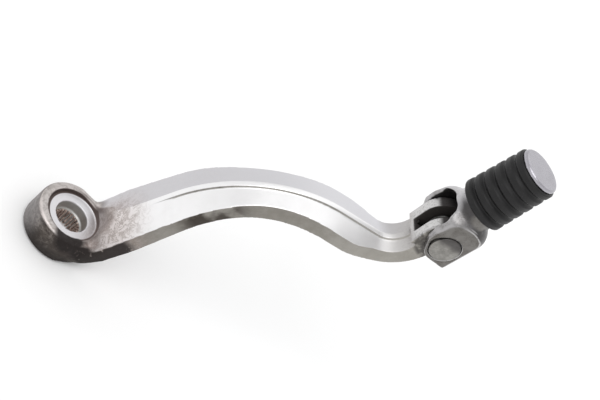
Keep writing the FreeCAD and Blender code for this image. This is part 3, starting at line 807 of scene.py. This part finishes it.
def fill(piece: Object, rounds: int, passes: int, weights: np.ndarray) -> None:
    """Fill the hollows of a dense mesh and leave its ridges.

    Args:
        piece: Object to change.
        rounds: How often to repeat.
        passes: Smoothing passes of each round.
        weights: Share of the filling at each corner.
    """
    for _ in range(rounds):
        before = corners(piece)
        normals = np.empty(before.size)
        piece.data.vertices.foreach_get("normal", normals)
        soften(piece, passes, weights)
        step = corners(piece) - before
        rise = np.einsum("ij,ij->i", step, normals.reshape(-1, 3))
        place_corners(piece, before + step * ramp(rise, 0.0, 0.02)[:, None])


def corners(piece: Object) -> np.ndarray:
    """Return the corners of a mesh in millimetres, one row each."""
    flat = np.empty(len(piece.data.vertices) * 3)
    piece.data.vertices.foreach_get("co", flat)
    return flat.reshape(-1, 3) / MM


def place_corners(piece: Object, points: np.ndarray) -> None:
    """Move the corners of a mesh, in millimetres, and keep them in the box of the solids."""
    inside = np.clip(points * MM, np.array(CAD_BOX[0]), np.array(CAD_BOX[1]))
    piece.data.vertices.foreach_set("co", inside.ravel())
    piece.data.update()


def ramp(values: np.ndarray, low: float, high: float) -> np.ndarray:
    """Return a smooth step from zero at low to one at high."""
    share = np.clip((values - low) / (high - low), 0.0, 1.0)
    return share * share * (3.0 - 2.0 * share)


def fall(values: np.ndarray, low: float, high: float) -> np.ndarray:
    """Return a smooth step from one at low to zero at high."""
    return 1.0 - ramp(values, low, high)


def drill_bit(radius: float, top: float, below: float = 2.0) -> Object:
    """Make a round cutter on the hub's axis.

    Args:
        radius: Its radius in millimetres.
        top: Its upper end in millimetres.
        below: How far it reaches below the part in millimetres.

    Returns:
        The cutter.
    """
    work = bmesh.new()
    bottom = CAD_BOX[0].z / MM - below
    length = top - bottom
    place = Matrix.Translation((0.0, 0.0, (bottom + length / 2.0) * MM))
    bmesh.ops.create_cone(work, cap_ends=True, segments=96, radius1=radius * MM,
                          radius2=radius * MM, depth=length * MM, matrix=place)
    return bake(work, "drill_bit")


@dataclass(frozen=True)
class ArmCurve:
    """Side view of the arm: a straight rise, a bend, a level run and an upturn."""

    foot_x: float = 12.57
    foot_top: float = 12.0
    level: float = 68.3
    rise: float = 68.5
    bend_radius: float = 51.0
    half: float = 6.0
    end_x: float = 106.8
    outer_turn: float = 8.0
    inner_turn: float = 24.0
    draft: float = 14.0
    recess: float = 0.55
    near_miss: float = 0.06
    far_miss: float = 0.2

    def bend_centre(self) -> tuple[float, float]:
        """Return the middle of the bend."""
        z = self.level - self.bend_radius
        angle = math.radians(self.rise)
        return self.foot_x + self.bend_radius / math.sin(angle) + z / math.tan(angle), z

    def true(self, points: np.ndarray) -> np.ndarray:
        """Move points that lie close to the arm's faces exactly onto them.

        Args:
            points: Corners in millimetres.

        Returns:
            The moved corners.
        """
        moved = points.copy()
        x, y, z = points.T
        slope = np.abs(y) * math.tan(math.radians(self.draft))
        half = self.half - slope
        centre = self.bend_centre()
        angle = math.radians(self.rise)
        sine, cosine = math.sin(angle), math.cos(angle)
        east, north = x - centre[0], z - centre[1]
        gap = np.hypot(east, north)
        started = east * cosine + north * sine > 0.0
        on_bend = started & (x < centre[0])
        on_rise = ~started & (z > self.foot_top)
        beside = -(east * sine - north * cosine)
        offset = np.where(on_bend, gap, beside) - self.bend_radius
        way = np.tile([-sine, cosine], (len(x), 1))
        way[on_bend] = (np.stack([east, north], axis=1) / gap[:, None])[on_bend]
        self.pull(moved, on_bend | on_rise, offset, half, way)
        self.pull(moved, on_bend | on_rise, -offset, half, -way)
        run = x >= centre[0]
        up = np.tile([0.0, 1.0], (len(x), 1))
        for sign, radius in ((-1.0, self.outer_turn), (1.0, self.inner_turn)):
            bow = (self.end_x + sign * self.half - radius, self.level - sign * self.half + radius)
            out = sign * (self.level - z)
            self.pull(moved, run & (x < bow[0]) & (out > 0.0), out, half, up * -sign)
            bent = run & (x >= bow[0]) & (z < bow[1])
            radial = moved[:, (0, 2)] - np.array(bow)
            reach = np.linalg.norm(radial, axis=1) * sign
            self.pull(moved, bent, reach, sign * radius - slope, radial / reach[:, None])
        return moved

    def pull(self, moved: np.ndarray, chosen: np.ndarray, offset: np.ndarray, target: np.ndarray,
             way: np.ndarray) -> None:
        """Pull chosen points onto a face, or onto the recess below it.

        Args:
            moved: Corners to move.
            chosen: Which corners to look at.
            offset: How far out each corner lies.
            target: How far out the face lies.
            way: Outward direction in the side view.
        """
        for depth in (0.0, self.recess):
            miss = target - depth - offset
            share = chosen * fall(np.abs(miss), self.near_miss, self.far_miss)
            moved[:, (0, 2)] += way * (share * miss)[:, None]


@dataclass
class Lever:
    """Hub, arm and fork in one forging, and the teeth of its bore."""

    voxel: float = 0.42
    passes: int = 3
    hub_passes: int = 20
    root_passes: int = 90
    near_flare: float = 1.7
    far_flare: float = 1.4
    fill_rounds: int = 16
    fill_passes: int = 40
    hub_clear: float = 11.7
    hub_soft: float = 0.6
    hub_reach: float = 24.0
    hub_top: float = 30.0
    tooth_count: int = 26
    tooth_tip: float = 5.3
    tooth_root: float = 6.0
    tooth_sink: float = 0.5
    tooth_width: float = 0.92
    tooth_taper: float = 0.55
    tooth_top: float = -4.75
    tooth_bottom: float = -11.3

    def build(self) -> None:
        """Make the forging and its teeth."""
        bit = drill_bit(self.tooth_root + 0.05, self.tooth_top + 0.1)
        forging = rounded_copy("lever", "lever_forging", self.voxel, self.passes, bit)
        x, y, z = corners(forging).T
        radius = np.hypot(x, y)
        clear = ramp(radius, self.hub_clear - self.hub_soft, self.hub_clear + self.hub_soft)
        shoulder = ramp(z, 1.0, 2.2) * (radius > 10.5)
        weights = np.maximum(clear, shoulder) * fall(radius, 17.0, self.hub_reach)
        root = ramp(x, 1.0, 5.0) * fall(z, 14.0, 22.0)
        soften(forging, self.hub_passes, weights * (z < self.hub_top))
        fill(forging, self.fill_rounds, self.fill_passes, weights * root)
        soften(forging, self.root_passes, weights * root * fall(radius, 16.0, 20.0))
        place_corners(forging, self.flare(ArmCurve().true(corners(forging))))
        smooth(forging)
        dress(forging, LeverMetal().make())
        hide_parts("lever")
        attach(forging, Body.LEVER.value)
        teeth = self.teeth()
        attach(teeth, Body.LEVER.value)

    def flare(self, points: np.ndarray) -> np.ndarray:
        """Return corners with the arm's side edges spread a little where it leaves the hub."""
        moved = points.copy()
        x, y, z = points.T
        near = ramp(-y, 3.0, 9.0) * ramp(x, 6.0, 22.0) * fall(x, 26.0, 48.0)
        far = ramp(y, 3.0, 9.0) * ramp(x, 5.0, 16.0) * fall(x, 18.0, 42.0)
        moved[:, 1] += ramp(z, -6.0, 16.0) * (self.far_flare * far - self.near_flare * near)
        return moved

    def teeth(self) -> Object:
        """Return the ring of teeth in the bore."""
        pattern = Pattern("bore_teeth")
        count = pattern.size("tooth count", self.tooth_count)
        tip, seat, length, width = pattern.lengths({
            "tip radius": self.tooth_tip, "seat radius": self.tooth_root + self.tooth_sink,
            "tooth length": self.tooth_top - self.tooth_bottom, "tooth width": self.tooth_width})
        depth = seat - tip
        size = pattern.wire("ShaderNodeCombineXYZ", {0: depth, 1: width, 2: length})
        block = pattern.wire("GeometryNodeMeshCube", {"Size": size})
        inputs = {"Vertices": count, "Radius": tip + depth * 0.5}
        ring = pattern.wire("GeometryNodeMeshCircle", inputs)
        outward = {"Vector": pattern.wire("GeometryNodeInputPosition")}
        turn = pattern.wire("FunctionNodeAlignRotationToVector", outward, axis="X", pivot_axis="Z")
        tooth = self.slim(pattern, block, depth * 0.5)
        inputs = {"Points": ring, "Instance": tooth, "Rotation": turn}
        stand = pattern.wire("GeometryNodeInstanceOnPoints", inputs)
        middle = (0.0, 0.0, (self.tooth_top + self.tooth_bottom) / 2.0)
        return pattern.grow(pattern.move(stand, middle), SplineRust().make())

    def slim(self, pattern: Pattern, block: Wire, half: Wire) -> Wire:
        """Return a plain tooth narrowed towards its tip; half is half of its depth."""
        out, across, up = (pattern.position(axis) for axis in "XYZ")
        share = out.span(half * -1.0, half, self.tooth_taper, 1.0)
        moved = pattern.wire("ShaderNodeCombineXYZ", {0: out, 1: across * share, 2: up})
        return pattern.wire("GeometryNodeSetPosition", {"Geometry": block, "Position": moved})


@dataclass
class ToeAxis:
    """Where the folding toe piece stands at rest."""

    pivot: Triple = PIVOT
    lean: float = 4.0

    def direction(self) -> Triple:
        """Return the direction of the toe axis."""
        angle = math.radians(self.lean)
        return (math.sin(angle), 0.0, math.cos(angle))

    def point(self, height: float) -> Triple:
        """Return the point on the axis at a distance from the pivot, in millimetres."""
        return tuple(p + a * height for p, a in zip(self.pivot, self.direction()))


@dataclass
class Toe:
    """Folding forging with ears, waist and end disc."""

    axis: ToeAxis
    voxel: float = 0.3
    passes: int = 10
    ear_push: float = 1.0
    ear_pull: float = 0.6
    arch_passes: int = 100
    fill_rounds: int = 6
    fill_passes: int = 40
    tip: float = 46.7

    def build(self) -> None:
        """Make the toe forging."""
        forging = rounded_copy("toe_piece", "toe_forging", self.voxel, self.passes)
        points = corners(forging)
        side, across, height = (points - np.array(self.axis.pivot)).T
        ear = ramp(np.abs(across), 7.2, 7.9) * ramp(-side, 4.0, 7.5)
        points[:, 0] -= self.ear_push * ear * ramp(height, -3.0, 0.5) * fall(height, 4.0, 10.0)
        points[:, 0] += self.ear_pull * ear * fall(height, -4.5, -1.5)
        place_corners(forging, points)
        arch = ramp(height, 6.5, 10.5) * fall(height, 14.5, 17.5) * fall(side, -4.0, 0.0)
        soften(forging, self.arch_passes, arch)
        outside = np.maximum(ramp(np.abs(across), 8.0, 8.6), ramp(height, 14.5, 15.2))
        waist = outside * ramp(height, 3.0, 6.0) * fall(height, 15.5, 17.5)
        fill(forging, self.fill_rounds, self.fill_passes, waist)
        smooth(forging)
        dress(forging, ToeMetal().make(self.axis, self.tip))
        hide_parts("toe_piece")
        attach(forging, Body.TOE.value)


@dataclass
class Sleeve:
    """Ribbed rubber on the stem."""

    axis: ToeAxis
    start: float = 19.0
    length: float = 25.9
    radius: float = 10.9
    end_radius: float = 10.1
    groove_depth: float = 1.3
    groove_half: float = 0.3
    groove_fade: float = 0.55
    grooves: int = 5
    pitch: float = 4.6
    first: float = 1.5
    edge: float = 0.7
    rings: int = 260
    sides: int = 112
    sharp: float = 50.0

    def build(self) -> None:
        """Make the sleeve."""
        pattern = Pattern("ribbed_sleeve")
        count = pattern.size("grooves", self.grooves)
        length, pitch, first, depth, wide, thin, edge = pattern.lengths({
            "length": self.length, "pitch": self.pitch, "first rib": self.first,
            "groove depth": self.groove_depth, "radius": self.radius,
            "end radius": self.end_radius, "edge": self.edge})
        end = pattern.wire("ShaderNodeCombineXYZ", {2: length})
        line = pattern.wire("GeometryNodeCurvePrimitiveLine", {"End": end})
        path = pattern.wire("GeometryNodeResampleCurve", {"Curve": line, "Count": self.rings})
        height = pattern.position("Z")
        turns = pattern.maths("DIVIDE", height - first, pitch)
        from_groove = (pattern.maths("FRACT", turns) - 0.5).size()
        begun = pattern.maths("GREATER_THAN", turns, 0.0)
        ended = pattern.maths("LESS_THAN", turns, count)
        valley = from_groove.span(0.0, self.groove_half, 1.0, 0.0) * (begun * ended)
        cone = height.span(0.0, length, wide, thin, "LINEAR")
        fade = height.span(0.0, length, 1.0, self.groove_fade, "LINEAR")
        lip = height.span(0.0, edge, edge, 0.0)
        top = (length - height).span(0.0, edge, edge, 0.0)
        radius = cone - valley * depth * fade - (lip + top)
        tube = pattern.tube(path, radius, self.sides)
        lean = (0.0, math.radians(self.axis.lean), 0.0)
        stand = pattern.move(tube, self.axis.point(self.start), lean)
        piece = pattern.grow(stand, SleeveRubber().make())
        smooth(piece, self.sharp)
        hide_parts("rubber_sleeve")
        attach(piece, Body.TOE.value)


@dataclass
class Pin:
    """Headed pin through the ears and the fork."""

    axis: ToeAxis
    radius: float = 3.0
    head_radius: float = 6.2
    head_top: float = -11.5
    head_seat: float = -9.7
    head_round: float = 1.0
    head_flat: float = 0.6
    head_steps: int = 6
    rivet_radius: float = 4.0
    rivet_start: float = 10.0
    rivet_end: float = 11.0
    tail: float = 11.3
    steps: int = 72
    sharp: float = 40.0
    tone: Triple = (0.33, 0.32, 0.30)
    shade: Triple = (0.21, 0.203, 0.19)
    # Painted shade on the upper part of the pin's head.
    shade_band: Band = (92.5, 96.0)

    def profile(self) -> list[tuple[float, float]]:
        """Return the outline as radius and height in millimetres."""
        points = [(0.0, self.head_top)]
        for step in range(self.head_steps + 1):
            angle = math.radians(90.0 / self.head_steps * step)
            inset = self.head_round * (1.0 - math.sin(angle))
            drop = self.head_round * self.head_flat * (1.0 - math.cos(angle))
            points.append((self.head_radius - inset, self.head_top + drop))
        points += [(self.head_radius, self.head_seat), (self.radius, self.head_seat)]
        points += [(self.radius, self.rivet_start), (self.rivet_radius, self.rivet_end)]
        points += [(self.rivet_radius * 0.85, self.tail - 0.08)]
        return points + [(self.rivet_radius * 0.6, self.tail), (0.0, self.tail)]

    def build(self) -> None:
        """Turn the pin."""
        work = bmesh.new()
        outline = [work.verts.new((r * MM, y * MM, 0.0)) for r, y in self.profile()]
        edges = [work.edges.new(pair) for pair in zip(outline, outline[1:])]
        bmesh.ops.spin(work, geom=outline + edges, cent=(0, 0, 0), axis=(0, 1, 0),
                       angle=2 * math.pi, steps=self.steps, use_merge=True)
        bmesh.ops.remove_doubles(work, verts=work.verts, dist=1e-7)
        bmesh.ops.recalc_face_normals(work, faces=work.faces)
        bmesh.ops.translate(work, verts=work.verts, vec=scaled(self.axis.pivot))
        piece = bake(work, "headed_pin")
        smooth(piece, self.sharp)
        dress(piece, Steel("pin_steel", self.tone, self.shade, shade_band=self.shade_band).make())
        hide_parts("pivot_pin")
        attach(piece, Body.TOE.value)


@dataclass
class Spring:
    """Torsion spring around the pin, built in its rest shape."""

    axis: ToeAxis
    wire: float = 0.65
    coil: float = 5.2
    pitch: float = 1.6
    turns: float = 2.25
    fork_leg: float = 8.4
    toe_leg: float = 12.3
    steps: int = 48
    sides: int = 14
    sharp: float = 60.0
    tone: Triple = (0.13, 0.128, 0.125)
    shade: Triple = (0.05, 0.048, 0.045)

    def build(self) -> None:
        """Make the spring."""
        turns = self.turns - self.axis.lean / 360.0
        height = self.pitch * turns
        pattern = Pattern("torsion_wire")
        wire, coil, rise = pattern.lengths({
            "wire radius": self.wire, "coil radius": self.coil, "coil height": height})
        spins = pattern.size("turns", turns)
        inputs = {"Resolution": self.steps, "Rotations": spins, "Start Radius": coil,
                  "End Radius": coil, "Height": rise}
        spiral = pattern.wire("GeometryNodeCurveSpiral", inputs)
        begun = pattern.move(spiral, HUB, (0.0, 0.0, -math.pi / 2.0))
        x, _, z = self.axis.pivot
        turned = pattern.move(begun, (x, height / 2.0, z), (math.pi / 2.0, 0.0, 0.0))
        rest = (x, height / 2.0, z - self.coil)
        rest_leg = self.leg(pattern, rest, (-1.0, 0.0, 0.0), self.fork_leg)
        lean = math.radians(self.axis.lean)
        push = (x + self.coil * math.cos(lean), -height / 2.0, z - self.coil * math.sin(lean))
        push_leg = self.leg(pattern, push, self.axis.direction(), self.toe_leg)
        join = pattern.node("GeometryNodeJoinGeometry")
        for path in (push_leg, rest_leg, turned):
            pattern.feed(join.inputs[0], pattern.tube(path, wire, self.sides))
        steel = Steel("spring_steel", self.tone, self.shade).make()
        piece = pattern.grow(Wire(pattern, join.outputs[0]), steel)
        smooth(piece, self.sharp)
        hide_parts("torsion_spring")
        scaled((x, height / 2.0 - self.wire, z))
        scaled((x, -height / 2.0 + self.wire, z))
        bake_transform(piece)

    @staticmethod
    def leg(pattern: Pattern, start: Triple, direction: Triple, length: float) -> Wire:
        """Return the path of a straight leg, given in millimetres."""
        end = tuple(a + b * length for a, b in zip(start, direction))
        inputs = {"Start": scaled(start), "End": scaled(end)}
        return pattern.wire("GeometryNodeCurvePrimitiveLine", inputs)


@dataclass
class Studio:
    """Camera, floor and soft light."""

    focal_pixels: float = 1100.0
    image_width: float = 600.0
    sensor_width: float = 36.0
    camera_place: Triple = (-137.44, -282.65, 299.40)
    camera_right: Triple = (0.7513, 0.0217, 0.6596)
    camera_up: Triple = (-0.4610, 0.7325, 0.5009)
    camera_back: Triple = (-0.4723, -0.6804, 0.5603)
    floor_half: float = 6.0
    floor_gap: float = 0.2
    floor_tone: Triple = (0.93, 0.93, 0.93)
    floor_rough: float = 0.9
    sky_heights: Band = (0.1, 0.75)
    sky_tones: Band = (1.0, 0.8)

    def build(self) -> None:
        """Set up the whole studio."""
        self.camera()
        self.floor()
        self.world()
        self.lamp("overhead", (0.42, 0.40, 0.81), spread=62.0, power=0.3)
        self.lamp("key", (-0.35, -0.30, 0.89), spread=45.0, power=0.8)
        bpy.context.scene.view_settings.view_transform = "Standard"

    def camera(self) -> None:
        """Place the camera where the photograph was taken."""
        data = bpy.data.cameras.new("camera")
        data.sensor_width = self.sensor_width
        data.lens = self.focal_pixels * self.sensor_width / self.image_width
        data.clip_start = 0.01
        camera = bpy.data.objects.new("camera", data)
        axes = Matrix((self.camera_right, self.camera_up, self.camera_back)).transposed()
        camera.matrix_world = Matrix.Translation(scaled(self.camera_place)) @ axes.to_4x4()
        bpy.context.scene.collection.objects.link(camera)
        bpy.context.scene.camera = camera

    def floor(self) -> None:
        """Lay a plain pale floor under the hub."""
        work = bmesh.new()
        level = CAD_BOX[0].z - self.floor_gap * MM
        bmesh.ops.create_grid(work, x_segments=1, y_segments=1, size=self.floor_half,
                              matrix=Matrix.Translation((0.0, 0.0, level)))
        floor = bake(work, "floor")
        dress(floor, Sheet("floor_paint").finish(self.floor_tone, self.floor_rough, 0.0, 0.0))

    def world(self) -> None:
        """Surround the part with soft light, white at the horizon."""
        world = bpy.data.worlds.new("studio")
        world.use_nodes = True
        bpy.context.scene.world = world
        graph = Graph(world.node_tree)
        height = graph.part(graph.wire("ShaderNodeTexCoord", output="Generated"), "Z")
        background = world.node_tree.nodes["Background"]
        graph.feed(background.inputs["Color"], height.span(*self.sky_heights, *self.sky_tones))
        background.inputs["Strength"].default_value = 1.0

    @staticmethod
    def lamp(name: str, direction: Triple, spread: float, power: float) -> None:
        """Hang a lamp far away in a direction, with its width in degrees and its power."""
        data = bpy.data.lights.new(name, "SUN")
        data.energy = power
        data.angle = math.radians(spread)
        lamp = bpy.data.objects.new(name, data)
        lamp.rotation_mode = "QUATERNION"
        lamp.rotation_quaternion = Vector(direction).to_track_quat("Z", "Y")
        bpy.context.scene.collection.objects.link(lamp)


def main() -> None:
    """Build every piece, then the studio."""
    logging.basicConfig(level=logging.INFO, format="%(name)s: %(message)s")
    axis = ToeAxis()
    for item in (Lever(), Toe(axis), Sleeve(axis), Pin(axis), Spring(axis), Studio()):
        item.build()
        LOG.info("built %s", type(item).__name__)


if __name__ == "__main__":
    main()
